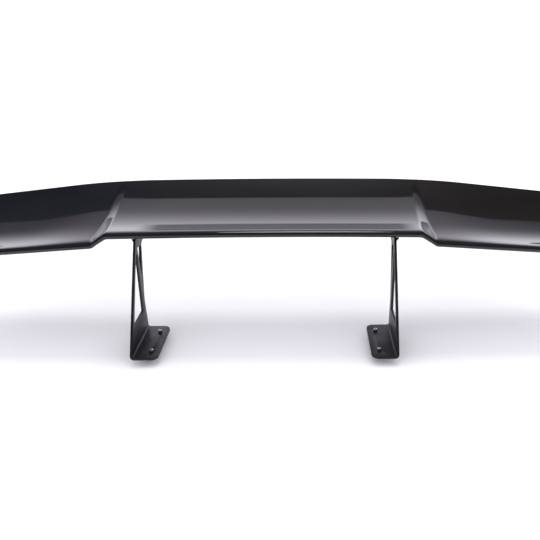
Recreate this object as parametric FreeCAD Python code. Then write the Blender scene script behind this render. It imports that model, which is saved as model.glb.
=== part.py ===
import FreeCAD
import Part
import math
import os

# Racing rear wing on two bent-plate stands, in millimetres.
# X runs across the car, Y runs rearwards along the air flow, Z is up.
# The origin is the centre of the four foot screws, on the underside of the feet.

VEC = FreeCAD.Vector
ALONG_X = VEC(1, 0, 0)
ALONG_Z = VEC(0, 0, 1)

# ---- Wing section and planform ----
CHORD = 280.0
NOSE_Y = 18.0
HALF_SPAN = 860.0
SKIN = 2.0
BOND_GAP = 0.05
RIB_GAP = 0.25
NOSE_Z = 284.8
TE_Z = 352.3
CENTRE_ARCH = 3.0
SAG_INBOARD = 0.00119
SAG_OUTBOARD = 0.00113
SAG_GROWTH = 1.4e-6
TE_FALL = 0.112
TE_FALL_START = 430.0
TE_FALL_SOFT = 112.0
NOSE_FALL = 0.063
STEP_IN = 385.0
STEP_OUT = 423.0
STEP_DROP = 24.8
STEP_TAPER = 11.0
STEP_ROUND = 0.12
NOSE_BLUNT = 22.6
NOSE_BLUNT_FADE = 16
TIP_KICK = 2.4
TIP_KICK_FROM = 430.0
TIP_KICK_FULL = 620.0
LAND_START = 0.945
INNER_END = 0.93
INNER_START = 0.0065
SECTION_POINTS = 18

# ---- Inside of the wing ----
FRONT_SPAR_V = 36.0
REAR_SPAR_V = 176.0
SPAR_THICK = 4.0
SPAR_HALF_SPAN = 849.0
RIB_THICK = 4.0
TIP_RIB_THICK = 8.0
RIB_MOUNT_X = 322.0
RIB_STEP_X = 404.0

# ---- Stands ----
STAND_X = 330.0
PLATE = 6.0
FOOT_WIDTH = 67.0
FOOT_LENGTH = 166.0
FOOT_FRONT_Y = -82.0
FOOT_BEND = 5.0
FOOT_CORNER = 18.0
HEAD_TOP = 268.0
HEAD_FRONT = (148.8, 260.0)
HEAD_BACK = 224.0
WINDOW_CORNER = 3.0

# ---- Foot screws (M6 socket cap) ----
FOOT_SCREW_X = 284.0
FOOT_SCREW_Y = 49.5
M6_R = 3.0
M6_NECK_R = 2.65
M6_HOLE_R = 3.3
M6_HEAD_R = 5.0
M6_HEAD_H = 6.0
M6_SOCKET_AF = 5.0
FOOT_SCREW_TIP = 19.0

# ---- Pivot and clamp screws (M6 button head) ----
PIVOT = (166.0, 255.0)
CLAMP_R = 42.0
TILT_DEG = 6.0
M6_RUNNING_R = 3.06
M6_TAPPED_R = 3.02
BUTTON_R = 5.25
BUTTON_H = 3.3
BUTTON_AF = 4.0
NUT_AF = 10.0
NUT_H = 5.0
COLLAR_R = 4.4
COLLAR_H = 1.5
SCREW_END = 1.2
WASHER_R = 6.25
WASHER_T = 1.2
FRICTION_R = 7.0
FRICTION_T = 1.0
SLIDE_GAP = 0.2

# ---- Wing brackets ----
BLADE = 4.0
FLANGE_OUT = 376.0
FLANGE_TOP = 266.0
FLANGE_Y = (158.0, 238.0)
BRACKET_BEND = 1.5
BRACKET_SCREW_X = 357.0
BRACKET_SCREW_Y = (172.0, 224.0)
BRACKET_SCREW_REACH = 20.0
HARDPOINT_X = (338.0, 375.0)
HARDPOINT_H = 11.0

# ---- End plates ----
END_PLATE = 3.0
END_SCREW_V = (40.0, 110.0, 185.0)
M5_R = 2.5
M5_HEAD_R = 4.75
M5_HEAD_H = 2.75
INSERT_R = 4.0
INSERT_L = 7.0
M5_REACH = 9.0

STAND_INNER = STAND_X - PLATE
BLADE_IN = STAND_X + FRICTION_T
BLADE_OUT = BLADE_IN + BLADE
CLAMP_NUT_FACE = STAND_INNER - SLIDE_GAP - WASHER_T


def soft_ramp(distance, radius):
    """Zero before the corner, the distance itself after it, and a parabola between."""
    if distance <= -radius:
        return 0.0
    if distance >= radius:
        return distance
    return (distance + radius) ** 2 / (4.0 * radius)


def arch(x):
    """Rise of the middle of the wing over its step corners, from 1 at the centre to 0."""
    return 1.0 - min(1.0, (x / STEP_IN) ** 2)


def te_height(x):
    fall = TE_FALL * soft_ramp(abs(x) - TE_FALL_START, TE_FALL_SOFT)
    return TE_Z - CENTRE_ARCH + CENTRE_ARCH * arch(x) - fall


def sagged(nose_z, te_z, sag, v):
    """Height of a camber line with a parabolic sag, v millimetres behind the nose."""
    slope = (te_z - nose_z) / CHORD - sag * CHORD
    return nose_z + slope * v + sag * v * v


def tip_kick(x, v):
    """Flattens the front of the outer panels and lifts their rear, in a smooth S."""
    share = (abs(x) - TIP_KICK_FROM) / (TIP_KICK_FULL - TIP_KICK_FROM)
    share = min(1.0, max(0.0, share))
    share = share * share * (3.0 - 2.0 * share)
    return -TIP_KICK * share * math.sin(2.0 * math.pi * v / CHORD)


def camber(x, v):
    """Camber height. The raised middle steps down to the outer panels at the nose."""
    out = abs(x)
    te_z = te_height(x)
    middle = sagged(NOSE_Z + CENTRE_ARCH * arch(x), te_z, SAG_INBOARD, v)
    beyond = out - STEP_OUT
    outer_nose = NOSE_Z - STEP_DROP - NOSE_FALL * beyond
    outer_sag = SAG_OUTBOARD + SAG_GROWTH * max(0.0, beyond)
    outer = sagged(outer_nose, te_z, outer_sag, v) + tip_kick(x, v)
    taper = STEP_TAPER * v / CHORD
    share = (out - STEP_IN - taper) / (STEP_OUT - STEP_IN - 2.0 * taper)
    share = soft_ramp(share, STEP_ROUND) - soft_ramp(share - 1.0, STEP_ROUND)
    return middle + (outer - middle) * share


def half_thickness(v):
    u = v / CHORD
    body = 40.0 * math.sqrt(u) - 30.7 * u - 1.2 * u ** 2 - 6.1 * u ** 3
    return body + NOSE_BLUNT * math.sqrt(u) * (1.0 - u) ** NOSE_BLUNT_FADE


def skin_point(x, v, side, depth=0.0):
    """Point on the upper (side 1) or lower (side -1) skin, depth below its outer face."""
    z = camber(x, v) + side * (half_thickness(v) - depth)
    return VEC(x, NOSE_Y + v, z)


def middle_point(x, v):
    return VEC(x, NOSE_Y + v, camber(x, v))


def spline(points):
    curve = Part.BSplineCurve()
    curve.interpolate(points)
    return curve.toShape()


def spaced(v_start, v_end, count):
    """Distances from the nose that lie closer together towards the nose."""
    first = math.sqrt(v_start)
    last = math.sqrt(v_end)
    return [(first + (last - first) * i / count) ** 2 for i in range(count + 1)]


def skin_run(x, side, depth, v_start, v_end, count=SECTION_POINTS):
    return [skin_point(x, v, side, depth) for v in spaced(v_start, v_end, count)]


def joined(*runs):
    """Closed wire through the runs: two points make a line, more make a spline."""
    edges = []
    for run in runs:
        edges.append(spline(run) if len(run) > 2 else Part.makeLine(run[0], run[1]))
    return Part.Wire(edges)


def span_stations():
    coarse_in = [0.0, 60.0, 120.0, 180.0, 240.0, 290.0, 335.0, 365.0]
    step = [377.0 + 4.5 * i for i in range(13)]
    coarse_out = [450.0, 480.0, 520.0, 560.0, 600.0, 640.0, 700.0, 780.0, HALF_SPAN]
    half = coarse_in + step + coarse_out
    return [-x for x in reversed(half[1:])] + half


def skin_section(x, side):
    """Section of one skin: outer face, trailing edge, bond land, inner face, nose land."""
    outer = skin_run(x, side, 0.0, 0.0, CHORD)
    inner = skin_run(x, side, SKIN, INNER_START * CHORD, INNER_END * CHORD)
    inner[0] = middle_point(x, INNER_START * CHORD)
    te_mid = middle_point(x, CHORD)
    land = middle_point(x, LAND_START * CHORD)
    return joined(outer, [outer[-1], te_mid], [te_mid, land], [land, inner[-1]],
                  list(reversed(inner)), [inner[0], outer[0]])


def wing_skin(side):
    sections = [skin_section(x, side) for x in span_stations()]
    return Part.makeLoft(sections, True, True)


def spar(v_centre):
    """Upright web that fills the height between the skins at one distance from the nose."""
    front = v_centre - SPAR_THICK / 2.0
    back = v_centre + SPAR_THICK / 2.0
    depth = SKIN + BOND_GAP
    stations = [x for x in span_stations() if abs(x) < SPAR_HALF_SPAN]
    stations = [-SPAR_HALF_SPAN] + stations + [SPAR_HALF_SPAN]
    sections = []
    for x in stations:
        corners = [skin_point(x, front, 1, depth), skin_point(x, back, 1, depth),
                   skin_point(x, back, -1, depth), skin_point(x, front, -1, depth)]
        sections.append(Part.makePolygon(corners + corners[:1]))
    return Part.makeLoft(sections, True, True)


def rib(x_low, x_high, v_start, v_end):
    """Rib plate between the skins, from one distance behind the nose to another."""
    depth = SKIN + RIB_GAP
    sections = []
    for x in (x_low, x_high):
        top = skin_run(x, 1, depth, v_start, v_end)
        bottom = skin_run(x, -1, depth, v_start, v_end)
        sections.append(joined(top, [top[-1], bottom[-1]], list(reversed(bottom)),
                               [bottom[0], top[0]]))
    return Part.makeLoft(sections, True, True)


def between_spars_rib(x_centre):
    v_start = FRONT_SPAR_V + SPAR_THICK / 2.0 + BOND_GAP
    v_end = REAR_SPAR_V - SPAR_THICK / 2.0 - BOND_GAP
    return rib(x_centre - RIB_THICK / 2.0, x_centre + RIB_THICK / 2.0, v_start, v_end)


def tube(axis_point, direction, radius, length, bore=0.0):
    shape = Part.makeCylinder(radius, length, axis_point, direction)
    if bore > 0.0:
        shape = shape.cut(Part.makeCylinder(bore, length, axis_point, direction))
    return shape


def hexagon(across_flats, height):
    """Hexagonal prism standing on the origin, with its axis along +Z."""
    radius = across_flats / math.sqrt(3.0)
    corners = []
    for i in range(7):
        turn = math.radians(60.0 * i)
        corners.append(VEC(radius * math.cos(turn), radius * math.sin(turn), 0))
    return Part.Face(Part.makePolygon(corners)).extrude(VEC(0, 0, height))


def placed(shape, point, direction):
    """Turn a shape that was built along +Z so that it runs along direction from point."""
    moved = shape.copy()
    moved.Placement = FreeCAD.Placement(point, FreeCAD.Rotation(ALONG_Z, direction))
    return moved


def cap_screw(radius, head_radius, head_height, socket_af, reach):
    """Socket cap screw along +Z: its head below the origin plane, its shank above."""
    head = Part.makeCylinder(head_radius, head_height, VEC(0, 0, -head_height))
    rim = [edge for edge in head.Edges if abs(edge.BoundBox.ZMax + head_height) < 0.01]
    head = head.makeChamfer(0.6, rim[:1])
    shank = Part.makeCylinder(radius, reach)
    tip = [edge for edge in shank.Edges if abs(edge.BoundBox.ZMin - reach) < 0.01]
    shank = shank.makeChamfer(0.7, tip[:1])
    socket = hexagon(socket_af, head_height * 0.5)
    socket.translate(VEC(0, 0, -head_height))
    return head.fuse(shank).cut(socket).removeSplitter()


def nyloc_nut():
    """M6 self-locking nut on the origin plane, with its nylon collar on the far side."""
    body = hexagon(NUT_AF, NUT_H)
    collar = Part.makeCylinder(COLLAR_R, COLLAR_H, VEC(0, 0, NUT_H))
    bore = Part.makeCylinder(M6_TAPPED_R, NUT_H + COLLAR_H)
    round_off = Part.makeCone(NUT_AF * 0.5, NUT_AF * 0.5 + 8.0, 8.0)
    return body.common(round_off).fuse(collar).cut(bore).removeSplitter()


def rounded_outline(points, plane):
    """Closed face from (a, b, radius) corners, on plane "yz" or "xy"."""
    def place(a, b):
        return VEC(0, a, b) if plane == "yz" else VEC(a, b, 0)

    edges = []
    spots = [place(a, b) for a, b, radius in points]
    last_end = None
    first_start = None
    for i, (a, b, radius) in enumerate(points):
        here = spots[i]
        back = (spots[i - 1] - here).normalize()
        ahead = (spots[(i + 1) % len(spots)] - here).normalize()
        half = back.getAngle(ahead) / 2.0
        reach = radius / math.tan(half)
        start = here + back * reach
        end = here + ahead * reach
        if last_end is not None:
            edges.append(Part.makeLine(last_end, start))
        else:
            first_start = start
        if radius > 0.0:
            inward = (back + ahead).normalize()
            middle = here + inward * (radius / math.sin(half) - radius)
            edges.append(Part.Arc(start, middle, end).toShape())
        last_end = end
    edges.append(Part.makeLine(last_end, first_start))
    return Part.Face(Part.Wire(edges))


def side_prism(points, x_low, x_high):
    """Prism along X with its outline on Y and Z; y counts from the front of the foot."""
    moved = [(y + FOOT_FRONT_Y, z, radius) for y, z, radius in points]
    face = rounded_outline(moved, "yz")
    face.translate(VEC(x_low, 0, 0))
    return face.extrude(VEC(x_high - x_low, 0, 0))


def bent_angle(x_out, x_in, z_corner, z_far, thick, inner_bend, y_low, y_high):
    """Sheet bent once along Y: an upright leg at x_out and a flat leg towards x_in.

    The flat leg's outer face is at z_corner and the upright leg ends at z_far.
    """
    inward = 1.0 if x_in > x_out else -1.0
    upward = 1.0 if z_far > z_corner else -1.0
    outer = inner_bend + thick
    quarter = outer * (1.0 - math.sqrt(0.5))
    quarter_in = thick + inner_bend * (1.0 - math.sqrt(0.5))

    def at(across, along):
        return VEC(x_out + inward * across, y_low, z_corner + upward * along)

    height = abs(z_far - z_corner)
    width = abs(x_in - x_out)
    edges = [
        Part.makeLine(at(0, height), at(0, outer)),
        Part.Arc(at(0, outer), at(quarter, quarter), at(outer, 0)).toShape(),
        Part.makeLine(at(outer, 0), at(width, 0)),
        Part.makeLine(at(width, 0), at(width, thick)),
        Part.makeLine(at(width, thick), at(outer, thick)),
        Part.Arc(at(outer, thick), at(quarter_in, quarter_in), at(thick, outer)).toShape(),
        Part.makeLine(at(thick, outer), at(thick, height)),
        Part.makeLine(at(thick, height), at(0, height)),
    ]
    return Part.Face(Part.Wire(edges)).extrude(VEC(0, y_high - y_low, 0))


def clamp_centre(tilt_deg=0.0):
    turn = math.radians(tilt_deg)
    return (PIVOT[0] + CLAMP_R * math.cos(turn), PIVOT[1] + CLAMP_R * math.sin(turn))


def across(centre, x):
    """Point on a bolt axis that runs along X through a (y, z) centre of the stand."""
    return VEC(x, centre[0] + FOOT_FRONT_Y, centre[1])


def arc_slot(x_low, x_high):
    """Slot around the pivot that lets the clamp bolt swing through the tilt range."""
    length = x_high - x_low
    ring = tube(across(PIVOT, x_low), ALONG_X, CLAMP_R + M6_HOLE_R, length,
                CLAMP_R - M6_HOLE_R)
    start = clamp_centre(-TILT_DEG)
    end = clamp_centre(TILT_DEG)
    far = 2.0
    wedge = Part.makePolygon([
        across(PIVOT, x_low),
        across((PIVOT[0] + far * (start[0] - PIVOT[0]), PIVOT[1] + far * (start[1] - PIVOT[1])), x_low),
        across((PIVOT[0] + far * (end[0] - PIVOT[0]), PIVOT[1] + far * (end[1] - PIVOT[1])), x_low),
        across(PIVOT, x_low),
    ])
    slot = ring.common(Part.Face(wedge).extrude(VEC(length, 0, 0)))
    for centre in (start, end):
        slot = slot.fuse(tube(across(centre, x_low), ALONG_X, M6_HOLE_R, length))
    return slot.removeSplitter()


def stand_plate():
    """Left stand: raked upright with two windows, bent once into an inward foot."""
    x_out = -STAND_X
    x_web = x_out + PLATE
    blank = bent_angle(x_out, x_out + FOOT_WIDTH, 0.0, HEAD_TOP + 5.0, PLATE, FOOT_BEND,
                       FOOT_FRONT_Y, FOOT_FRONT_Y + HEAD_BACK + 10.0)
    outline = [(0, 0, 0), (FOOT_LENGTH, 0, 0), (FOOT_LENGTH + 3.5, 16, 12), (162.5, 86, 60),
               (195.5, 234, 8), (HEAD_BACK, 241, 6), (HEAD_BACK, HEAD_TOP, 10),
               (*HEAD_FRONT, 5), (0, 4, 0)]
    upright = side_prism(outline, x_out - 1.0, x_out + FOOT_WIDTH + 1.0)
    y_end = FOOT_FRONT_Y + FOOT_LENGTH
    y_far = FOOT_FRONT_Y + HEAD_BACK + 5.0
    foot_plan = rounded_outline([
        (x_out, FOOT_FRONT_Y, 0), (x_out + FOOT_WIDTH, FOOT_FRONT_Y, FOOT_CORNER),
        (x_out + FOOT_WIDTH, y_end, FOOT_CORNER), (x_out + PLATE + FOOT_BEND, y_end, 0),
        (x_out + PLATE + FOOT_BEND, y_far, 0), (x_out, y_far, 0)], "xy")
    plate = blank.common(upright).common(foot_plan.extrude(VEC(0, 0, HEAD_TOP + 10.0)))
    lower = [(49.5, 65, WINDOW_CORNER), (140.5, 65, WINDOW_CORNER), (146.5, 240, 5)]
    upper = [(161.5, 148, WINDOW_CORNER), (188, 231, WINDOW_CORNER), (156.5, 236, WINDOW_CORNER)]
    for window in (lower, upper):
        plate = plate.cut(side_prism(window, x_out - 1.0, x_web + 1.0))
    plate = plate.cut(tube(across(PIVOT, x_out - 1.0), ALONG_X, M6_TAPPED_R, PLATE + 2.0))
    plate = plate.cut(arc_slot(x_out - 1.0, x_web + 1.0))
    for y in (-FOOT_SCREW_Y, FOOT_SCREW_Y):
        plate = plate.cut(tube(VEC(-FOOT_SCREW_X, y, -1), ALONG_Z, M6_HOLE_R, PLATE + 2.0))
    return plate


def foot_screws():
    """Two M6 socket cap screws: a plain neck in the left foot, the thread below it."""
    screw = cap_screw(M6_R, M6_HEAD_R, M6_HEAD_H, M6_SOCKET_AF, PLATE + FOOT_SCREW_TIP)
    neck = tube(VEC(0, 0, 0), ALONG_Z, M6_R + 1.0, PLATE, M6_NECK_R)
    screw = screw.cut(neck).removeSplitter()
    return [placed(screw, VEC(-FOOT_SCREW_X, y, PLATE), VEC(0, 0, -1))
            for y in (-FOOT_SCREW_Y, FOOT_SCREW_Y)]


def button_screw(centre, reach):
    """Left M6 button-head screw: its head outside the bracket, its shank inwards."""
    screw = cap_screw(M6_R, BUTTON_R, BUTTON_H, BUTTON_AF, reach)
    return placed(screw, across(centre, -BLADE_OUT), ALONG_X)


def pivot_screw():
    """Left pivot screw: tapped into the stand, just short of its inner face."""
    return button_screw(PIVOT, BLADE + FRICTION_T + PLATE - 0.3)


def clamp_screw():
    """Left clamp screw: through the bracket and the arc slot to a nut inside the stand."""
    reach = BLADE_OUT - CLAMP_NUT_FACE + NUT_H + COLLAR_H + SCREW_END
    return button_screw(clamp_centre(), reach)


def washer(centre, x_inner, thick, radius):
    """Washer on the left side, from x_inner outwards."""
    return tube(across(centre, -x_inner), VEC(-1, 0, 0), radius, thick, M6_RUNNING_R)


def clamp_washers():
    """Slip washer between bracket and stand, and plain washer under the nut."""
    slip = washer(clamp_centre(), STAND_X + SLIDE_GAP, FRICTION_T - SLIDE_GAP, FRICTION_R)
    return [slip, washer(clamp_centre(), CLAMP_NUT_FACE, WASHER_T, WASHER_R)]


def wing_bracket():
    """Left bracket: an upright blade beside the stand and a flange under the wing."""
    y_low = FOOT_FRONT_Y + FLANGE_Y[0]
    y_high = FOOT_FRONT_Y + FLANGE_Y[1]
    blank = bent_angle(-BLADE_IN, -FLANGE_OUT, FLANGE_TOP, PIVOT[1] - 15.0, BLADE,
                       BRACKET_BEND, y_low, y_high)
    low_edge = PIVOT[1] - 7.0
    outline = [(FLANGE_Y[0], FLANGE_TOP + 1, 0), (FLANGE_Y[0], low_edge, 7), (215, low_edge, 7),
               (FLANGE_Y[1], low_edge + 10, 5), (FLANGE_Y[1], FLANGE_TOP + 1, 0)]
    bracket = blank.common(side_prism(outline, -FLANGE_OUT - 1.0, -BLADE_IN + 1.0))
    bracket = bracket.cut(tube(across(PIVOT, -BLADE_OUT - 1.0), ALONG_X, M6_RUNNING_R,
                               BLADE + 2.0))
    bracket = bracket.cut(tube(across(clamp_centre(), -BLADE_OUT - 1.0), ALONG_X,
                               M6_RUNNING_R, BLADE + 2.0))
    return bracket.cut(Part.makeCompound(bracket_screw_holes(M6_HOLE_R, FLANGE_TOP + 1.0)))


def bracket_screw_holes(radius, top):
    """Upright holes for the two screws that hold the left bracket to the wing."""
    foot = FLANGE_TOP - BLADE - 1.0
    holes = []
    for y in BRACKET_SCREW_Y:
        spot = VEC(-BRACKET_SCREW_X, FOOT_FRONT_Y + y, foot)
        holes.append(Part.makeCylinder(radius, top - foot, spot))
    return holes


def bracket_screws():
    screw = cap_screw(M6_R, M6_HEAD_R, M6_HEAD_H, M6_SOCKET_AF, BRACKET_SCREW_REACH)
    foot = FLANGE_TOP - BLADE
    return [placed(screw, VEC(-BRACKET_SCREW_X, FOOT_FRONT_Y + y, foot), ALONG_Z)
            for y in BRACKET_SCREW_Y]


def flange_v(index):
    return FOOT_FRONT_Y + FLANGE_Y[index] - NOSE_Y


def mounting_pad():
    """Left pad that fills the wedge between the flat flange and the curved lower skin."""
    sections = []
    for x in (-FLANGE_OUT, -BLADE_IN - 1.0):
        top = skin_run(x, -1, -BOND_GAP, flange_v(0) + 2.0, flange_v(1) - 2.0, 8)
        front = VEC(x, top[0].y, FLANGE_TOP)
        back = VEC(x, top[-1].y, FLANGE_TOP)
        sections.append(joined(top, [top[-1], back], [back, front], [front, top[0]]))
    pad = Part.makeLoft(sections, True, True)
    return pad.cut(Part.makeCompound(bracket_screw_holes(M6_HOLE_R, NOSE_Z + 10.0)))


def hardpoint():
    """Left metal block on the inner face of the lower skin, tapped for the screws."""
    sections = []
    for x in (-HARDPOINT_X[1], -HARDPOINT_X[0]):
        low = skin_run(x, -1, SKIN + BOND_GAP, flange_v(0) + 4.0, flange_v(1) - 4.0, 8)
        high = [point + VEC(0, 0, HARDPOINT_H) for point in low]
        sections.append(joined(low, [low[-1], high[-1]], list(reversed(high)),
                               [high[0], low[0]]))
    block = Part.makeLoft(sections, True, True)
    top = FLANGE_TOP - BLADE + BRACKET_SCREW_REACH + 0.5
    return block.cut(Part.makeCompound(bracket_screw_holes(M6_TAPPED_R, top)))


def end_plate():
    """Left end plate, fastened across the wing tip."""
    outline = [(104, 196, 20), (372, 196, 45), (400, 264, 25), (397, 330, 20),
               (88, 262, 18), (84, 212, 16)]
    plate = side_prism(outline, -HALF_SPAN - END_PLATE, -HALF_SPAN)
    for spot in end_screw_spots():
        plate = plate.cut(tube(spot, VEC(-1, 0, 0), M5_R + 0.25, END_PLATE))
    return plate


def end_screw_spots():
    return [middle_point(-HALF_SPAN, v) for v in END_SCREW_V]


def end_plate_screws():
    """Three low-headed M5 screws through the left end plate."""
    screw = cap_screw(M5_R, M5_HEAD_R, M5_HEAD_H, 3.0, M5_REACH)
    return [placed(screw, spot + VEC(-END_PLATE, 0, 0), ALONG_X) for spot in end_screw_spots()]


def tip_rib():
    """Left tip rib, which closes the end of the wing and holds three inserts."""
    shape = rib(-HALF_SPAN, -HALF_SPAN + TIP_RIB_THICK, 4.0, INNER_END * CHORD - 6.0)
    for spot in end_screw_spots():
        shape = shape.cut(tube(spot, ALONG_X, INSERT_R + 0.02, TIP_RIB_THICK))
    return shape


def tip_inserts():
    return [tube(spot, ALONG_X, INSERT_R, INSERT_L, M5_R + 0.02) for spot in end_screw_spots()]


def save(name, shapes):
    """Write one node; several shapes become a group of separate solids."""
    listed = shapes if isinstance(shapes, list) else [shapes]
    solids = [solid for shape in listed for solid in shape.Solids]
    whole = solids[0] if len(solids) == 1 else Part.makeCompound(solids)
    whole.exportStep("parts/" + name + ".step")
    print(name, len(solids), round(whole.Volume / 1000.0, 2), "cm3", whole.isValid())


def save_pair(name, shapes):
    """Write the left-hand node and its mirror image on the right."""
    listed = shapes if isinstance(shapes, list) else [shapes]
    save(name + "_left", listed)
    save(name + "_right", [shape.mirror(VEC(0, 0, 0), ALONG_X) for shape in listed])


def build():
    os.makedirs("parts", exist_ok=True)

    # The two stands, which are bolted to the car and stay still.
    save_pair("stand_plate", stand_plate())
    save_pair("foot_screws", foot_screws())
    save_pair("pivot_screw", pivot_screw())
    save_pair("friction_washer", washer(PIVOT, STAND_X, FRICTION_T, FRICTION_R))

    # The wing and all that tilts with it.
    lower = wing_skin(-1)
    holes = bracket_screw_holes(M6_HOLE_R, NOSE_Z)
    holes += [hole.mirror(VEC(0, 0, 0), ALONG_X) for hole in holes]
    save("wing_lower_skin", lower.cut(Part.makeCompound(holes)))
    save("wing_upper_skin", wing_skin(1))
    save("front_spar", spar(FRONT_SPAR_V))
    save("rear_spar", spar(REAR_SPAR_V))
    save("rib_centre", between_spars_rib(0.0))
    save_pair("rib_mount", between_spars_rib(-RIB_MOUNT_X))
    save_pair("rib_step", between_spars_rib(-RIB_STEP_X))
    save_pair("rib_tip", tip_rib())
    save_pair("hardpoint", hardpoint())
    save_pair("mounting_pad", mounting_pad())
    save_pair("wing_bracket", wing_bracket())
    save_pair("bracket_screws", bracket_screws())
    save_pair("clamp_screw", clamp_screw())
    save_pair("clamp_washers", clamp_washers())
    save_pair("clamp_nut", placed(nyloc_nut(), across(clamp_centre(), -CLAMP_NUT_FACE), ALONG_X))
    save_pair("end_plate", end_plate())
    save_pair("end_plate_screws", end_plate_screws())
    save_pair("tip_inserts", tip_inserts())


build()
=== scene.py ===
import math

import bmesh
import bpy
from mathutils import Euler, Matrix, Vector


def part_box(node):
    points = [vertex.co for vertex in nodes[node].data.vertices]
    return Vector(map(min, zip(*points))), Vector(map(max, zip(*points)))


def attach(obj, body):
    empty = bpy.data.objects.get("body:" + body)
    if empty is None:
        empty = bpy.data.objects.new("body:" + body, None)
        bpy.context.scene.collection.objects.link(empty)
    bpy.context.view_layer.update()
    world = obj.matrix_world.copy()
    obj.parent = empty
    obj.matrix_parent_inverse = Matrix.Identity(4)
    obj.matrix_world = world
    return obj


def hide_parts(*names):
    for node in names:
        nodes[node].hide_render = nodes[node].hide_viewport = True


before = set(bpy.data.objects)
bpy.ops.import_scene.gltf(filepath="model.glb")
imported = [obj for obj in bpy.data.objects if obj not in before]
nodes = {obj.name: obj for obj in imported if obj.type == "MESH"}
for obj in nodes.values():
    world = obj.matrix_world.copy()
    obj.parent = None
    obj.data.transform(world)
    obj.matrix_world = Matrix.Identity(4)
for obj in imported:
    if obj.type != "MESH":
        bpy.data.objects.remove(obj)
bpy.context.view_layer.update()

# A racing rear wing in black gloss on two black satin stands.
# Every size below is in millimetres unless it says otherwise.
MM = 0.001

# The wing's section and step, the same rule that shapes the structural skins.
SKIN_SIZES = {
    "Half span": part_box("wing_upper_skin")[1].x / MM,
    "Chord": (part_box("wing_lower_skin")[1].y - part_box("wing_lower_skin")[0].y) / MM,
    "Nose Y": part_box("wing_lower_skin")[0].y / MM,
    "Side": 1.0,
    "Skin": 2.0,
    "Nose height": 284.8,
    "Tail height": 352.3,
    "Arch": 3.0,
    "Sag inboard": 0.00119,
    "Sag outboard": 0.00113,
    "Sag growth": 1.4e-6,
    "Tail fall": 0.112,
    "Tail fall start": 430.0,
    "Tail fall soft": 112.0,
    "Nose fall": 0.063,
    "Step in": 385.0,
    "Step out": 423.0,
    "Step drop": 24.8,
    "Step taper": 11.0,
    "Step round": 0.12,
    "Section swell": 40.0,
    "Section taper": 30.7,
    "Section fall": 1.2,
    "Section close": 6.1,
    "Nose blunt": 22.6,
    "Nose fade": 16.0,
    "Tip kick": 2.4,
    "Kick from": 430.0,
    "Kick full": 620.0,
}
SKIN_COLUMNS = 694
SKIN_ROWS = 88
SHARP_ANGLE = math.radians(38.0)

# Screws. A cap head is (radius, height); a button head adds the radius of its flat top.
M6_RADIUS, M6_PITCH = 3.0, 1.0
M5_RADIUS, M5_PITCH = 2.5, 0.8
M6_CAP, M6_CAP_SOCKET = (5.0, 6.0), 5.0
M6_BUTTON, M6_BUTTON_SOCKET = (5.25, 3.3, 2.9), 4.0
M5_BUTTON, M5_BUTTON_SOCKET = (4.75, 2.75, 2.3), 3.0
# How far each screw reaches past its head, and its plain neck as (radius, length).
FOOT_REACH, FOOT_NECK = 25.0, (2.65, 6.0)
BRACKET_REACH, BRACKET_NECK = 20.0, (M6_RADIUS, 2.0)
END_REACH, END_NECK = 9.0, (M5_RADIUS, 3.0)
PIVOT_NECK, CLAMP_NECK = (M6_RADIUS, 5.0), (M6_RADIUS, 11.0)
# The M6 nut: width over flats, height, collar radius, collar height and bore radius.
M6_NUT = (10.0, 5.0, 4.4, 1.5, 3.02)
NUT_CORNER = 0.05
KNURL_DEPTH = 0.22
# A thread's depth and run-out as shares of its pitch, and the length of its chamfered end.
THREAD_DEPTH = 0.6
THREAD_RUN_OUT = 0.8
THREAD_END = 0.7
# A socket's floor as a share of its head's height, and a closing ring as a share of its radius.
SOCKET_FLOOR = 0.45
POLE = 0.02
TURN_STEPS = 72
THREAD_STEPS = 6
DOME_STEPS = 8

# Plates, whose sharp edges the finish rounds over.
EDGE_EASE = 0.45
END_PLATE_EASE = 0.8
PLATE_WELD = 0.002
SKIN_WELD = 0.004
FLAT_ANGLE = math.radians(0.4)
EASED_ANGLE = math.radians(40.0)

scene = bpy.context.scene


# ---------------------------------------------------------------- node building

class Field:
    """A number in a node tree, with ordinary arithmetic."""

    def __init__(self, tree, socket):
        self.tree = tree
        self.socket = socket

    def math(self, operation, first, second=0.0):
        node = add(self.tree, "ShaderNodeMath", {0: first, 1: second}, operation=operation)
        return Field(self.tree, node.outputs[0])

    def __add__(self, other):
        return self.math("ADD", self, other)

    def __radd__(self, other):
        return self.math("ADD", other, self)

    def __sub__(self, other):
        return self.math("SUBTRACT", self, other)

    def __rsub__(self, other):
        return self.math("SUBTRACT", other, self)

    def __mul__(self, other):
        return self.math("MULTIPLY", self, other)

    def __rmul__(self, other):
        return self.math("MULTIPLY", other, self)

    def __truediv__(self, other):
        return self.math("DIVIDE", self, other)

    def __pow__(self, other):
        return self.math("POWER", self, other)

    def __abs__(self):
        return self.math("ABSOLUTE", self)

    def least(self, other):
        return self.math("MINIMUM", self, other)

    def most(self, other):
        return self.math("MAXIMUM", self, other)

    def above(self, other):
        return self.math("GREATER_THAN", self, other)

    def below(self, other):
        return self.math("LESS_THAN", self, other)


def add(tree, kind, inputs=None, **settings):
    """Adds one node, with its settings, its input values and its links."""
    node = tree.nodes.new(kind)
    for name, value in settings.items():
        setattr(node, name, value)
    for key, value in (inputs or {}).items():
        value = value.socket if isinstance(value, Field) else value
        if isinstance(value, bpy.types.NodeSocket):
            tree.links.new(value, node.inputs[key])
        else:
            node.inputs[key].default_value = value
    return node


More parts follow.
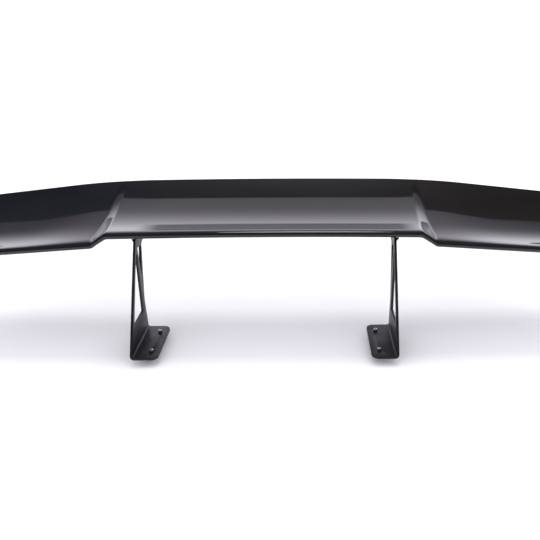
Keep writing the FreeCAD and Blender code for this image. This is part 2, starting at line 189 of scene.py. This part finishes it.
def new_tree(name, sizes):
    """Geometry tree with a geometry input, one number input for each size, and a material."""
    tree = bpy.data.node_groups.new(name, "GeometryNodeTree")
    face = tree.interface
    face.new_socket(name="Geometry", in_out="OUTPUT", socket_type="NodeSocketGeometry")
    face.new_socket(name="Geometry", in_out="INPUT", socket_type="NodeSocketGeometry")
    for size, value in sizes.items():
        face.new_socket(name=size, in_out="INPUT", socket_type="NodeSocketFloat").default_value = value
    face.new_socket(name="Material", in_out="INPUT", socket_type="NodeSocketMaterial")
    given = add(tree, "NodeGroupInput")
    fields = {size: Field(tree, given.outputs[size]) for size in sizes}
    return tree, given, fields


def close_tree(tree, given, geometry):
    """Ends a tree in plain geometry with the piece's material on it."""
    real = add(tree, "GeometryNodeRealizeInstances", {0: geometry})
    painted = add(tree, "GeometryNodeSetMaterial",
                  {"Geometry": real.outputs[0], "Material": given.outputs["Material"]})
    add(tree, "NodeGroupOutput", {0: painted.outputs[0]})


def grow(name, tree, values, start=None):
    """Runs a geometry tree once and keeps the result as a plain mesh."""
    piece = bpy.data.objects.new(name, start or bpy.data.meshes.new(name))
    modifier = piece.modifiers.new("shape", "NODES")
    modifier.node_group = tree
    for socket in tree.interface.items_tree:
        if socket.in_out == "INPUT" and socket.name in values:
            modifier[socket.identifier] = values[socket.name]
    scene.collection.objects.link(piece)
    seen = piece.evaluated_get(bpy.context.evaluated_depsgraph_get())
    mesh = bpy.data.meshes.new_from_object(seen)
    piece.modifiers.remove(modifier)
    piece.data = mesh
    smooth(mesh)
    return piece


def smooth(mesh):
    mesh.polygons.foreach_set("use_smooth", [True] * len(mesh.polygons))
    mesh.set_sharp_from_angle(angle=SHARP_ANGLE)


# ---------------------------------------------------------------- materials

def linear(code):
    """sRGB hex code to linear colour with full alpha."""
    parts = [int(code[i:i + 2], 16) / 255.0 for i in (1, 3, 5)]
    return [p / 12.92 if p <= 0.04045 else ((p + 0.055) / 1.055) ** 2.4 for p in parts] + [1.0]


# Most values of a noise lie between these two.
NOISE_LOW, NOISE_HIGH = 0.3, 0.7
# Rubbed patches are broader than the mottle and take the top of their own noise.
RUB_SPREAD = 2.5
RUB_FROM, RUB_FULL = 0.58, 0.75
# Twill cells 2 mm wide, as the scale of a wave texture.
TWILL_SCALE = 160.0


def finish(name, tones, mottle_mm, dullness, grain_mm, grain_depth_mm, worn, constants, skin="Normal"):
    """Material with mottled tone, uneven polish, fine grain and rubbed patches.

    Lengths are in millimetres; worn is the colour of a rubbed patch and its strength.
    """
    material = bpy.data.materials.new(name)
    material.use_nodes = True
    tree = material.node_tree
    tree.nodes.clear()
    shader = add(tree, "ShaderNodeBsdfPrincipled", constants)
    add(tree, "ShaderNodeOutputMaterial", {"Surface": shader.outputs[0]})
    place = add(tree, "ShaderNodeTexCoord").outputs["Object"]
    cloud = add(tree, "ShaderNodeTexNoise", {"Vector": place, "Scale": 1.0 / (mottle_mm * MM), "Detail": 3.0})
    tone = add(tree, "ShaderNodeMapRange", {"Value": cloud.outputs[0], "From Min": NOISE_LOW,
                                            "From Max": NOISE_HIGH})
    base = add(tree, "ShaderNodeMix", {0: tone.outputs[0], 6: linear(tones[0]), 7: linear(tones[1])},
               data_type="RGBA")
    rub = add(tree, "ShaderNodeTexNoise", {"Vector": place, "Scale": 1.0 / (RUB_SPREAD * mottle_mm * MM),
                                           "Detail": 8.0, "Roughness": 0.7})
    patch = add(tree, "ShaderNodeMapRange", {"Value": rub.outputs[0], "From Min": RUB_FROM,
                                             "From Max": RUB_FULL, "To Max": worn[1]})
    rubbed = add(tree, "ShaderNodeMix", {0: patch.outputs[0], 6: base.outputs[2], 7: linear(worn[0])},
                 data_type="RGBA")
    tree.links.new(rubbed.outputs[2], shader.inputs["Base Color"])
    dull = add(tree, "ShaderNodeMapRange", {"Value": rub.outputs[0], "From Min": NOISE_LOW,
                                            "From Max": NOISE_HIGH, "To Min": dullness[0],
                                            "To Max": dullness[1]})
    tree.links.new(dull.outputs[0], shader.inputs["Roughness"])
    grain = add(tree, "ShaderNodeTexNoise", {"Vector": place, "Scale": 1.0 / (grain_mm * MM), "Detail": 1.0})
    bump = add(tree, "ShaderNodeBump", {"Strength": 1.0, "Distance": grain_depth_mm * MM,
                                        "Height": grain.outputs[0]})
    tree.links.new(bump.outputs[0], shader.inputs[skin])
    return material


def bare_laminate():
    """Woven laminate straight from the mould: 2 mm twill cells under a dull resin."""
    material = finish("bare_laminate", ("#1c1c1e", "#242427"), 30.0, (0.42, 0.58), 1.0, 0.01,
                      ("#3a3a3d", 0.4), {})
    tree = material.node_tree
    shader = tree.nodes["Principled BSDF"]
    place = add(tree, "ShaderNodeTexCoord").outputs["Object"]
    weave = []
    for turn in (math.radians(45.0), math.radians(-45.0)):
        spun = add(tree, "ShaderNodeMapping", {"Vector": place, "Rotation": (0.0, turn, turn)})
        wave = add(tree, "ShaderNodeTexWave", {"Vector": spun.outputs[0], "Scale": TWILL_SCALE,
                                               "Distortion": 0.6})
        weave.append(Field(tree, wave.outputs["Fac"]))
    cell = weave[0] * weave[1]
    bump = add(tree, "ShaderNodeBump", {"Strength": 0.3, "Distance": 0.1 * MM, "Height": cell})
    tree.links.new(bump.outputs[0], shader.inputs["Normal"])
    return material


# Polished clear coat over black laminate: deep gloss with a trace of orange peel.
gloss = finish("clear_coated_laminate", ("#070709", "#0c0c0f"), 90.0, (0.30, 0.40), 3.5, 0.004,
               ("#141417", 0.35), {"Specular IOR Level": 0.03, "Coat Weight": 1.0,
                                   "Coat Roughness": 0.03, "Coat IOR": 1.5}, "Coat Normal")
# Black powder coat on bent plate: satin sheen; its 0.3 mm pebble is drawn at 0.7 mm to show.
satin = finish("powder_coated_aluminium", ("#0e0e0f", "#151516"), 35.0, (0.36, 0.50), 0.7, 0.035,
               ("#202022", 0.5), {"IOR": 1.5, "Specular IOR Level": 0.31})
# Zinc plate on steel: pale, slightly cloudy and softly bright.
zinc = finish("zinc_plated_steel", ("#b4b4b0", "#d6d6d4"), 4.0, (0.24, 0.38), 0.3, 0.008,
              ("#8d8c86", 0.5), {"Metallic": 1.0})
# Black oxide on steel: dark, oily and a little brown where it is rubbed.
black_oxide = finish("black_oxide_steel", ("#1b1c1f", "#2a2b2e"), 5.0, (0.32, 0.46), 0.4, 0.010,
                     ("#3d3a36", 0.5), {"Metallic": 1.0})
# Milled aluminium block: even grey with a fine cutter grain.
aluminium = finish("machined_aluminium", ("#a9abae", "#c4c6c9"), 18.0, (0.30, 0.42), 0.5, 0.012,
                   ("#8f9194", 0.4), {"Metallic": 1.0})
# Turned brass of the threaded inserts: warm yellow, dulled in patches.
brass = finish("turned_brass", ("#a98845", "#c9a75c"), 4.0, (0.25, 0.38), 0.3, 0.010,
               ("#86693a", 0.5), {"Metallic": 1.0})
# Moulded rubber wedge: deep matt black with a soft mould grain.
rubber = finish("moulded_rubber", ("#131313", "#1c1c1d"), 12.0, (0.70, 0.85), 0.8, 0.03,
                ("#2a2a2a", 0.5), {})
# Nylon slip washer: matt black, smoother than the rubber.
nylon = finish("black_nylon", ("#101011", "#19191a"), 6.0, (0.45, 0.60), 0.5, 0.02,
               ("#26262a", 0.5), {})
laminate = bare_laminate()

NODE_FINISH = {
    "front_spar": laminate, "rear_spar": laminate, "rib_": laminate,
    "hardpoint_": aluminium, "mounting_pad_": rubber, "tip_inserts_": brass,
    "clamp_washers_": black_oxide, "friction_washer_": nylon,
}


def finish_kept_nodes():
    """Gives every structural piece that stays its own material."""
    for name, piece in nodes.items():
        for start, material in NODE_FINISH.items():
            if name.startswith(start):
                for slot in piece.material_slots:
                    slot.material = material


# ---------------------------------------------------------------- the wing's skins

def soft_ramp(distance, radius):
    """Zero before a corner, the distance itself after it, and a parabola between."""
    held = (distance + radius).most(0.0).least(radius * 2.0)
    return held * held / (radius * 4.0) + (distance - radius).most(0.0)


def sagged(size, nose, tail, sag, v):
    """Height of a camber line that sags as a parabola, v behind the nose."""
    slope = (tail - nose) / size["Chord"] - sag * size["Chord"]
    return nose + slope * v + sag * v * v


def camber(size, x, v):
    """Camber height of the raised middle, the sloping step and the outer panel."""
    out = abs(x)
    arch = 1.0 - (out / size["Step in"]).least(1.0) ** 2.0
    rise = size["Arch"] * arch
    fall = size["Tail fall"] * soft_ramp(out - size["Tail fall start"], size["Tail fall soft"])
    tail = size["Tail height"] - size["Arch"] + rise - fall
    middle = sagged(size, size["Nose height"] + rise, tail, size["Sag inboard"], v)
    beyond = out - size["Step out"]
    outer_nose = size["Nose height"] - size["Step drop"] - size["Nose fall"] * beyond
    outer_sag = size["Sag outboard"] + size["Sag growth"] * beyond.most(0.0)
    kick = ((out - size["Kick from"]) / (size["Kick full"] - size["Kick from"])).least(1.0).most(0.0)
    kick = kick * kick * (3.0 - 2.0 * kick) * size["Tip kick"]
    wave = kick.math("SINE", v * (2.0 * math.pi) / size["Chord"])
    outer = sagged(size, outer_nose, tail, outer_sag, v) - kick * wave
    taper = size["Step taper"] * v / size["Chord"]
    share = (out - size["Step in"] - taper) / (size["Step out"] - size["Step in"] - taper * 2.0)
    share = soft_ramp(share, size["Step round"]) - soft_ramp(share - 1.0, size["Step round"])
    return middle + (outer - middle) * share


def wing_skin_tree():
    """Skin as one closed sheet: rows run round its section, columns run along the span."""
    tree, given, size = new_tree("wing_skin", SKIN_SIZES)
    grid = add(tree, "GeometryNodeMeshGrid", {"Size X": 1.0, "Size Y": 1.0,
                                              "Vertices X": SKIN_COLUMNS, "Vertices Y": SKIN_ROWS})
    spot = add(tree, "ShaderNodeSeparateXYZ", {0: add(tree, "GeometryNodeInputPosition").outputs[0]})
    # The first and last columns close the skin's ends; the columns inside them span it.
    along = Field(tree, spot.outputs["X"]) * (2.0 * (SKIN_COLUMNS - 1) / (SKIN_COLUMNS - 3))
    closing = abs(along).above(1.0 + 0.5 / SKIN_COLUMNS)
    x = along.least(1.0).most(-1.0) * size["Half span"]
    # The first half of the rows is the outer face, nose to tail; the rest comes back inside.
    row = (Field(tree, spot.outputs["Y"]) + 0.5) * float(SKIN_ROWS - 1)
    inside = row.above(0.5 * (SKIN_ROWS - 1))
    run = row.least(float(SKIN_ROWS - 1) - row) / (0.5 * SKIN_ROWS - 1.0)
    u = run ** 2.0
    half = run * size["Section swell"] - u * size["Section taper"]
    half = half - u ** 2.0 * size["Section fall"] - u ** 3.0 * size["Section close"]
    half = half + size["Nose blunt"] * run * (1.0 - u).most(0.0) ** size["Nose fade"]
    inner_half = (half - size["Skin"]).most(0.0)
    depth = half + (inner_half - half) * inside
    depth = depth + ((half + inner_half) * 0.5 - depth) * closing
    v = u * size["Chord"]
    z = camber(size, x, v) + size["Side"] * depth
    corner = add(tree, "ShaderNodeCombineXYZ", {0: x * MM, 1: (size["Nose Y"] + v) * MM, 2: z * MM})
    moved = add(tree, "GeometryNodeSetPosition", {"Geometry": grid.outputs[0], "Position": corner.outputs[0]})
    welded = add(tree, "GeometryNodeMergeByDistance",
                 {"Geometry": moved.outputs[0], "Distance": SKIN_WELD * MM})
    lower = size["Side"].below(0.0)
    turned_out = add(tree, "GeometryNodeFlipFaces", {0: welded.outputs[0], 1: lower})
    close_tree(tree, given, turned_out.outputs[0])
    return tree


def wing_skins():
    tree = wing_skin_tree()
    for name, side in (("upper", 1.0), ("lower", -1.0)):
        skin = grow(f"gloss_{name}_skin", tree, {"Side": side, "Material": gloss})
        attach(skin, "wing")
        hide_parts(f"wing_{name}_skin")


# ---------------------------------------------------------------- screws and nuts

def hexagon_radius(half_flats, turn):
    """Distance from the axis to a hexagon's side in the direction turn."""
    return half_flats / math.cos(turn % (math.pi / 3.0) - math.pi / 6.0)


def ring_radius(form, radius, step, height):
    """Radius of a turned piece at one step round its axis."""
    turn = 2.0 * math.pi * step / TURN_STEPS
    if form == "hex":
        return hexagon_radius(radius, turn)
    if form == "knurl":
        return radius - KNURL_DEPTH * (step % 2)
    if form[0] == "thread":
        pitch = form[1]
        phase = (step / TURN_STEPS + height / pitch) % 1.0
        return radius - THREAD_DEPTH * pitch * abs(2.0 * phase - 1.0)
    if form[0] == "hex_in":
        return min(form[1], hexagon_radius(radius, turn))
    return radius


def turned(name, rings, closed=True):
    """Closed shape of rings (height, radius, form) about +Z, in millimetres.

    With closed the ends are capped; otherwise the last ring joins the first, round a bore.
    """
    mesh = bpy.data.meshes.new(name)
    work = bmesh.new()
    loops = []
    for height, radius, form in rings:
        loop = []
        for step in range(TURN_STEPS):
            turn = 2.0 * math.pi * step / TURN_STEPS
            r = ring_radius(form, radius, step, height) * MM
            loop.append(work.verts.new((r * math.cos(turn), r * math.sin(turn), height * MM)))
        loops.append(loop)
    pairs = list(zip(loops, loops[1:])) + ([] if closed else [(loops[-1], loops[0])])
    for low, high in pairs:
        for step in range(TURN_STEPS):
            after = (step + 1) % TURN_STEPS
            work.faces.new((low[step], low[after], high[after], high[step]))
    if closed:
        work.faces.new(list(reversed(loops[0])))
        work.faces.new(loops[-1])
    bmesh.ops.recalc_face_normals(work, faces=work.faces)
    work.to_mesh(mesh)
    work.free()
    return mesh


def threaded_end(radius, reach, pitch, thread_from):
    """Rings of a shank from thread_from to its chamfered end."""
    rings = [(thread_from, radius, "round")]
    run_out = THREAD_RUN_OUT * pitch
    steps = int((reach - THREAD_END - thread_from - run_out) / pitch * THREAD_STEPS)
    for i in range(steps + 1):
        rings.append((thread_from + run_out + i * pitch / THREAD_STEPS, radius, ("thread", pitch)))
    rings += [(reach - THREAD_END / 2.0, radius - THREAD_DEPTH * pitch, "round"),
              (reach, radius - 0.7 * pitch - 0.2, "round"), (reach, radius * POLE, "round")]
    return rings


def socket_head(radius, height):
    """Rings of a knurled cylinder head, from its top down to its seat."""
    return [(-height, radius - 0.9, "round"), (-height + 0.12, radius - 0.45, "round"),
            (-height + 0.55, radius - 0.12, "round"), (-height + 0.9, radius, "knurl"),
            (-0.5, radius, "knurl"), (-0.25, radius - 0.15, "round"), (0.0, radius - 0.35, "round")]


def button_head(radius, height, flat):
    """Rings of a domed head, from its flat top down to its seat."""
    rings = []
    for step in range(DOME_STEPS + 1):
        turn = step / DOME_STEPS * math.pi / 2.0
        rings.append((-height + (height - 0.3) * (1.0 - math.cos(turn)),
                      flat + (radius - flat) * math.sin(turn), "round"))
    return rings + [(-0.1, radius, "round"), (0.0, radius - 0.1, "round")]


def hex_screw(name, radius, head, socket_af, reach, pitch, neck):
    """Screw with a hex recess in its head below z = 0, a plain neck and a thread above.

    neck is the neck's radius and length.
    """
    socket = socket_af / 2.0
    top = head[0][0]
    floor_height = top * SOCKET_FLOOR
    rings = [(floor_height, socket * POLE, "round"), (floor_height, socket * 0.9, "round"),
             (floor_height, socket, "hex"), (top + 0.3, socket, "hex"), (top, socket + 0.25, "hex")]
    rings += head + [(0.0, neck[0], "round"), (neck[1], neck[0], "round")]
    return turned(name, rings + threaded_end(radius, reach, pitch, neck[1] + 0.02))


def nyloc_nut(name, flats, height, collar_radius, collar_height, bore):
    """Self-locking nut standing on z = 0: chamfered hexagon with a rounded collar."""
    half = flats / 2.0
    top = height + collar_height
    full = ("hex_in", half / math.cos(math.pi / 6.0))
    chamfered = ("hex_in", half + NUT_CORNER)
    rings = [(0.0, bore, "round"), (0.0, half - 0.2, "round"), (0.0, half, chamfered),
             (0.7, half, full), (height - 0.9, half, full), (height, half, chamfered),
             (height + 0.02, collar_radius, "round"),
             (top - 0.5, collar_radius, "round"), (top - 0.12, collar_radius - 0.2, "round"),
             (top, collar_radius - 0.5, "round"), (top, bore + 0.3, "round"), (top - 0.3, bore, "round")]
    return turned(name, rings, closed=False)


def fastener_tree():
    """Puts one fastener at each point of the incoming mesh, all turned the same way."""
    tree, given, size = new_tree("fastener_set", {"Turn X": 0.0, "Turn Y": 0.0})
    tree.interface.new_socket(name="Fastener", in_out="INPUT", socket_type="NodeSocketObject")
    master = add(tree, "GeometryNodeObjectInfo", {"Object": given.outputs["Fastener"]})
    turn = add(tree, "ShaderNodeCombineXYZ", {0: size["Turn X"], 1: size["Turn Y"]})
    placed = add(tree, "GeometryNodeInstanceOnPoints",
                 {"Points": given.outputs["Geometry"], "Instance": master.outputs["Geometry"],
                  "Rotation": turn.outputs[0]})
    close_tree(tree, given, placed.outputs[0])
    return tree


def fastener_set(tree, node, master_mesh, spots, turn, body, material):
    """One set of equal fasteners that stands for one structural node."""
    master = bpy.data.objects.new(node + "_master", master_mesh)
    points = bpy.data.meshes.new(node + "_points")
    points.from_pydata([tuple(spot) for spot in spots], [], [])
    piece = grow(node + "_detail", tree, {"Turn X": turn[0], "Turn Y": turn[1], "Fastener": master,
                                          "Material": material}, points)
    bpy.data.objects.remove(master)
    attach(piece, body)
    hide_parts(node)


def upright_spots(node, seat):
    """Seats of a node's two upright cap screws, front and rear, at the height seat."""
    low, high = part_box(node)
    x = (low.x + high.x) / 2.0
    return [(x, y, seat) for y in (low.y + M6_CAP[0] * MM, high.y - M6_CAP[0] * MM)]


def side_spot(node, side, head):
    """Seat of a node's fastener along X, whose head of that height lies outermost."""
    low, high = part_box(node)
    middle = (low + high) / 2.0
    return (side * (max(abs(low.x), abs(high.x)) - head * MM), middle.y, middle.z)


def fasteners():
    tree = fastener_tree()
    cap = socket_head(*M6_CAP)
    button = button_head(*M6_BUTTON)
    low_button = button_head(*M5_BUTTON)
    foot = hex_screw("m6_foot_screw", M6_RADIUS, cap, M6_CAP_SOCKET, FOOT_REACH, M6_PITCH, FOOT_NECK)
    bracket = hex_screw("m6_bracket_screw", M6_RADIUS, cap, M6_CAP_SOCKET, BRACKET_REACH, M6_PITCH,
                        BRACKET_NECK)
    plate = hex_screw("m5_plate_screw", M5_RADIUS, low_button, M5_BUTTON_SOCKET, END_REACH, M5_PITCH,
                      END_NECK)
    nut = nyloc_nut("m6_nut", *M6_NUT)
    down, up = (math.pi, 0.0), (0.0, 0.0)
    for side, name in ((-1.0, "left"), (1.0, "right")):
        inward = (0.0, -side * math.pi / 2.0)
        node = f"foot_screws_{name}"
        spots = upright_spots(node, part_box(node)[1].z - M6_CAP[1] * MM)
        fastener_set(tree, node, foot, spots, down, "stands", zinc)
        node = f"bracket_screws_{name}"
        spots = upright_spots(node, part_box(node)[0].z + M6_CAP[1] * MM)
        fastener_set(tree, node, bracket, spots, up, "wing", black_oxide)
        for kind, body, neck in (("pivot", "stands", PIVOT_NECK), ("clamp", "wing", CLAMP_NECK)):
            node = f"{kind}_screw_{name}"
            low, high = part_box(node)
            reach = (high.x - low.x) / MM - M6_BUTTON[1]
            screw = hex_screw(f"m6_{kind}_{name}", M6_RADIUS, button, M6_BUTTON_SOCKET, reach, M6_PITCH,
                              neck)
            spots = [side_spot(node, side, M6_BUTTON[1])]
            fastener_set(tree, node, screw, spots, inward, body, black_oxide)
        node = f"clamp_nut_{name}"
        spots = [side_spot(node, side, 0.0)]
        fastener_set(tree, node, nut, spots, inward, "wing", black_oxide)
        node = f"end_plate_screws_{name}"
        seat = side_spot(node, side, M5_BUTTON[1])[0]
        spots = [(seat, spot.y, spot.z) for spot in insert_spots(f"tip_inserts_{name}")]
        fastener_set(tree, node, plate, spots, inward, "wing", black_oxide)


def insert_spots(node):
    """Centres of the separate inserts of one node, front to back."""
    work = bmesh.new()
    work.from_mesh(nodes[node].data)
    bmesh.ops.remove_doubles(work, verts=work.verts, dist=PLATE_WELD * MM / 2.0)
    left = set(work.verts)
    spots = []
    while left:
        group, queue = [], [left.pop()]
        while queue:
            vert = queue.pop()
            group.append(vert.co.copy())
            near = {edge.other_vert(vert) for edge in vert.link_edges} & left
            left -= near
            queue.extend(near)
        low = Vector([min(p[i] for p in group) for i in range(3)])
        high = Vector([max(p[i] for p in group) for i in range(3)])
        spots.append((low + high) / 2.0)
    work.free()
    return sorted(spots, key=lambda spot: spot.y)


# ---------------------------------------------------------------- plates

def eased_plate(node, body, material, ease=EDGE_EASE):
    """Copy of a plate whose edges are rounded over by the finish on it."""
    mesh = nodes[node].data.copy()
    work = bmesh.new()
    work.from_mesh(mesh)
    bmesh.ops.remove_doubles(work, verts=work.verts, dist=PLATE_WELD * MM)
    bmesh.ops.dissolve_limit(work, angle_limit=FLAT_ANGLE, verts=work.verts, edges=work.edges)
    work.to_mesh(mesh)
    work.free()
    mesh.materials.clear()
    mesh.materials.append(material)
    mesh.polygons.foreach_set("use_smooth", [True] * len(mesh.polygons))
    piece = bpy.data.objects.new(node + "_finished", mesh)
    scene.collection.objects.link(piece)
    bevel = piece.modifiers.new("eased edges", "BEVEL")
    bevel.width = ease * MM
    bevel.segments = 3
    bevel.limit_method = "ANGLE"
    bevel.angle_limit = EASED_ANGLE
    bevel.harden_normals = True
    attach(piece, body)
    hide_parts(node)


def plates():
    for name in ("left", "right"):
        eased_plate(f"stand_plate_{name}", "stands", satin)
        eased_plate(f"wing_bracket_{name}", "wing", satin)
        eased_plate(f"end_plate_{name}", "wing", gloss, END_PLATE_EASE)


# ---------------------------------------------------------------- floor, light and camera

FLOOR_HALF = 14.0
# The wall behind the wing, as ratios of height or sideways distance to distance ahead.
WALL_RATIO = 1.20
WALL_EDGE = 60.0
WALL_GLOW, WALL_GLOW_MOST = 0.85, 2.6
LOW_GLOW, LOW_GLOW_FROM, LOW_GLOW_CURVE = 5.2, 0.84, 1.3
SIDE_FADE, SIDE_FADE_FROM, SIDE_FADE_RANGE = 1.2, 0.35, 0.5
OPENING_TOP, OPENING_HALF, OPENING_OFF_CENTRE = 0.50, 0.27, 0.05
OPENING_EDGE, OPENING_DARK = 25.0, 0.75
# The ceiling, the light panel in it and the room at the camera's back.
CEILING_GLOW = 0.13
PANEL_FROM, PANEL_RISE, PANEL_MOST = 0.78, 1.4, 0.18
BACK_GLOW, BACK_RISE = 0.30, 3.0
FLOOR_GLOW, HORIZON_EDGE = 0.10, 8.0
WARM_SHIFT = 0.30
DIM_TINT = (1.0, 0.97, 1.06)
WALL_TINT = (0.99, 0.96, 1.07)
# The plain light that falls on matt surfaces, and the plain ground seen past the floor.
PLAIN_TINT = (1.01, 0.99, 1.07, 1.0)
PLAIN_SEEN = 1.05
AMBIENT = 1.23
OVERHEAD_STRENGTH = 0.85
OVERHEAD_SPREAD = math.radians(18.0)
OVERHEAD_LEAN = math.radians(-17.0)
CAMERA_SPOT = Vector((0.1083, -1.3446, 0.7809))
CAMERA_PITCH = math.radians(23.25)
CAMERA_ROLL = math.radians(-0.36)
CAMERA_LENS = 40.0
CAMERA_SENSOR = 36.0
CAMERA_SHIFT = -0.071


def floor():
    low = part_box("foot_screws_left")[0].z
    mesh = bpy.data.meshes.new("floor")
    h = FLOOR_HALF
    mesh.from_pydata([(-h, -h, low), (h, -h, low), (h, h, low), (-h, h, low)], [], [(0, 1, 2, 3)])
    # Seamless white paper: flat white with a barely uneven tooth.
    paper = finish("white_paper", ("#f3f3f3", "#f6f6f5"), 400.0, (0.88, 0.94), 2.0, 0.004,
                   ("#f1f1f0", 0.3), {"Specular IOR Level": 0.1})
    mesh.materials.append(paper)
    plane = bpy.data.objects.new("floor", mesh)
    scene.collection.objects.link(plane)


def held(field):
    """The field kept between 0 and 1."""
    return field.least(1.0).most(0.0)


def studio():
    """A bright wall behind the wing under a dim ceiling, with a soft light overhead."""
    world = bpy.data.worlds.new("studio")
    world.use_nodes = True
    scene.world = world
    tree = world.node_tree
    tree.nodes.clear()
    way = add(tree, "ShaderNodeSeparateXYZ", {0: add(tree, "ShaderNodeTexCoord").outputs["Generated"]})
    x, y, z = (Field(tree, way.outputs[i]) for i in range(3))
    ahead = y.most(0.02)
    height = z / ahead
    aside = x / ahead
    # The wall's top edge is straight, so it lies at a fixed ratio of height to distance.
    wall = held((y * WALL_RATIO - z) * WALL_EDGE + 0.5)
    low_glow = LOW_GLOW * (LOW_GLOW_FROM - height).most(0.0) ** LOW_GLOW_CURVE
    glow = (WALL_GLOW + low_glow).least(WALL_GLOW_MOST)
    glow = glow * (1.0 - (abs(aside) - SIDE_FADE_FROM).most(0.0).least(SIDE_FADE_RANGE) * SIDE_FADE)
    # A dark opening low in the middle of the wall.
    opening = held((OPENING_TOP - height) * OPENING_EDGE)
    opening = opening * held((OPENING_HALF - abs(aside + OPENING_OFF_CENTRE)) * OPENING_EDGE)
    glow = glow * (1.0 - OPENING_DARK * opening)
    panel = ((z - PANEL_FROM) * PANEL_RISE).most(0.0).least(PANEL_MOST)
    above = CEILING_GLOW + panel + BACK_GLOW * held(y * -BACK_RISE) * (1.0 - z)
    dim = FLOOR_GLOW + (above - FLOOR_GLOW) * held(z * HORIZON_EDGE + 0.5)
    # The ceiling is bluish on the left and brownish on the right; the wall is a little violet.
    shifts = (dim * (DIM_TINT[0] + WARM_SHIFT * x), dim * DIM_TINT[1], dim * (DIM_TINT[2] - WARM_SHIFT * x))
    tints = tuple(zip(shifts, WALL_TINT))
    sky = add(tree, "ShaderNodeCombineXYZ", {i: dark + (glow * share - dark) * wall
                                             for i, (dark, share) in enumerate(tints)})
    reflected = add(tree, "ShaderNodeBackground", {"Color": sky.outputs[0], "Strength": 1.0})
    path = add(tree, "ShaderNodeLightPath")
    seen = Field(tree, path.outputs["Is Camera Ray"])
    scattered = Field(tree, path.outputs["Is Diffuse Ray"])
    plain = add(tree, "ShaderNodeBackground", {"Color": PLAIN_TINT,
                                               "Strength": seen * PLAIN_SEEN + scattered * AMBIENT})
    mixed = add(tree, "ShaderNodeMixShader", {0: seen + scattered, 1: reflected.outputs[0],
                                              2: plain.outputs[0]})
    add(tree, "ShaderNodeOutputWorld", {"Surface": mixed.outputs[0]})
    lamp = bpy.data.lights.new("overhead", "SUN")
    lamp.energy = OVERHEAD_STRENGTH
    lamp.angle = OVERHEAD_SPREAD
    overhead = bpy.data.objects.new("overhead", lamp)
    overhead.rotation_euler = Euler((OVERHEAD_LEAN, 0.0, 0.0))
    scene.collection.objects.link(overhead)


def camera():
    data = bpy.data.cameras.new("camera")
    data.lens = CAMERA_LENS
    data.sensor_width = CAMERA_SENSOR
    data.shift_x = CAMERA_SHIFT
    eye = bpy.data.objects.new("camera", data)
    turn = Matrix.Rotation(math.radians(90.0) - CAMERA_PITCH, 4, "X") @ Matrix.Rotation(CAMERA_ROLL, 4, "Z")
    eye.matrix_world = Matrix.Translation(CAMERA_SPOT) @ turn
    scene.collection.objects.link(eye)
    scene.camera = eye


scene.view_settings.view_transform = "Standard"
finish_kept_nodes()
wing_skins()
fasteners()
plates()
floor()
studio()
camera()
